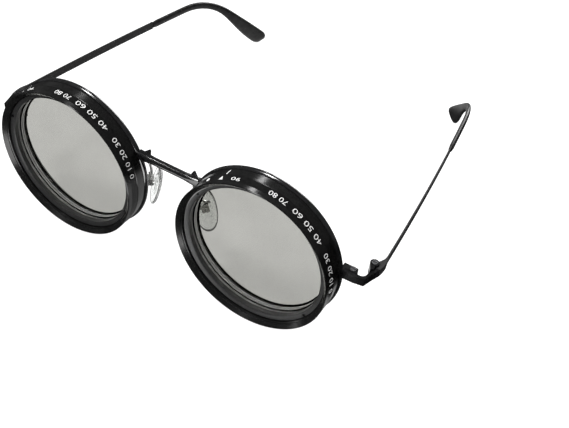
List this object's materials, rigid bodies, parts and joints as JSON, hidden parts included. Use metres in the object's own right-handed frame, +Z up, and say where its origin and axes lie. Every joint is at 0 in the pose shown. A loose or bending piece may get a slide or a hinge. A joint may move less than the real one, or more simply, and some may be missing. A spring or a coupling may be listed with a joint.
{
  "type": "adjustable tint sunglasses",
  "caption": "Round wire-frame sunglasses whose thick black eyepieces turn to darken the view, with folding temples, curved ear tips and clear nose pads.",
  "frame": {"origin": "middle of the glasses, on the surface that the rim bottoms stand on, halfway along the overall depth", "axes": "+X towards the wearer's left, +Y back towards the ears, +Z up"},
  "size_m": [0.1454, 0.1476, 0.055],
  "materials": {
    "frame_metal": "gloss black plating",
    "ring_metal": "black anodised, semi-gloss",
    "retainer_metal": "black anodised, satin",
    "screw_steel": "dark steel",
    "pad_metal": "nickel",
    "polariser": "polished, neutral grey tint",
    "tip_plastic": "polished black acetate",
    "clear_plastic": "clear, polished",
    "clear_silicone": "clear, soft gloss"
  },
  "bodies": {
    "frame": {"rim_left": "frame_metal", "rim_right": "frame_metal", "rim_screw_left": "screw_steel", "rim_screw_right": "screw_steel", "end_piece_left": "frame_metal", "end_piece_right": "frame_metal", "hinge_screw_left": "screw_steel", "hinge_screw_right": "screw_steel", "bridge": "frame_metal", "base_ring_left": "ring_metal", "base_ring_right": "ring_metal", "rear_glass_left": "polariser", "rear_glass_right": "polariser", "rear_retaining_ring_left": "retainer_metal", "rear_retaining_ring_right": "retainer_metal", "keeper_ring_left": "screw_steel", "keeper_ring_right": "screw_steel", "pad_arm_left": "pad_metal", "pad_arm_right": "pad_metal", "pad_screw_left": "screw_steel", "pad_screw_right": "screw_steel"},
    "tint_ring_left": {"front_ring_left": "ring_metal", "front_glass_left": "polariser", "front_retaining_ring_left": "retainer_metal"},
    "tint_ring_right": {"front_ring_right": "ring_metal", "front_glass_right": "polariser", "front_retaining_ring_right": "retainer_metal"},
    "arm_left": {"temple_left": "frame_metal", "temple_tip_left": "tip_plastic"},
    "arm_right": {"temple_right": "frame_metal", "temple_tip_right": "tip_plastic"},
    "pad_left": {"nose_pad_left": "clear_silicone", "pad_core_left": "clear_plastic"},
    "pad_right": {"nose_pad_right": "clear_silicone", "pad_core_right": "clear_plastic"}
  },
  "joints": [
    {"name": "tint_turn_left", "type": "hinge", "parent": "frame", "child": "tint_ring_left", "pos_m": [0.036, -0.07071, 0.0275], "axis": [0, 1, 0], "range_deg": [0, 90]},
    {"name": "tint_turn_right", "type": "hinge", "parent": "frame", "child": "tint_ring_right", "pos_m": [-0.036, -0.07071, 0.0275], "axis": [0, 1, 0], "range_deg": [0, 90]},
    {"name": "temple_fold_left", "type": "hinge", "parent": "frame", "child": "arm_left", "pos_m": [0.0699, -0.05733, 0.031], "axis": [0, 0, 1], "range_deg": [0, 80]},
    {"name": "temple_fold_right", "type": "hinge", "parent": "frame", "child": "arm_right", "pos_m": [-0.0699, -0.05733, 0.031], "axis": [0, 0, -1], "range_deg": [0, 68]},
    {"name": "pad_rock_left", "type": "hinge", "parent": "frame", "child": "pad_left", "pos_m": [0.0109, -0.05995, 0.0253], "axis": [0.7211, 0.6691, 0.1798], "range_deg": [-12, 12]},
    {"name": "pad_rock_right", "type": "hinge", "parent": "frame", "child": "pad_right", "pos_m": [-0.0109, -0.05995, 0.0253], "axis": [-0.7211, 0.6691, 0.1798], "range_deg": [-12, 12]}
  ]
}
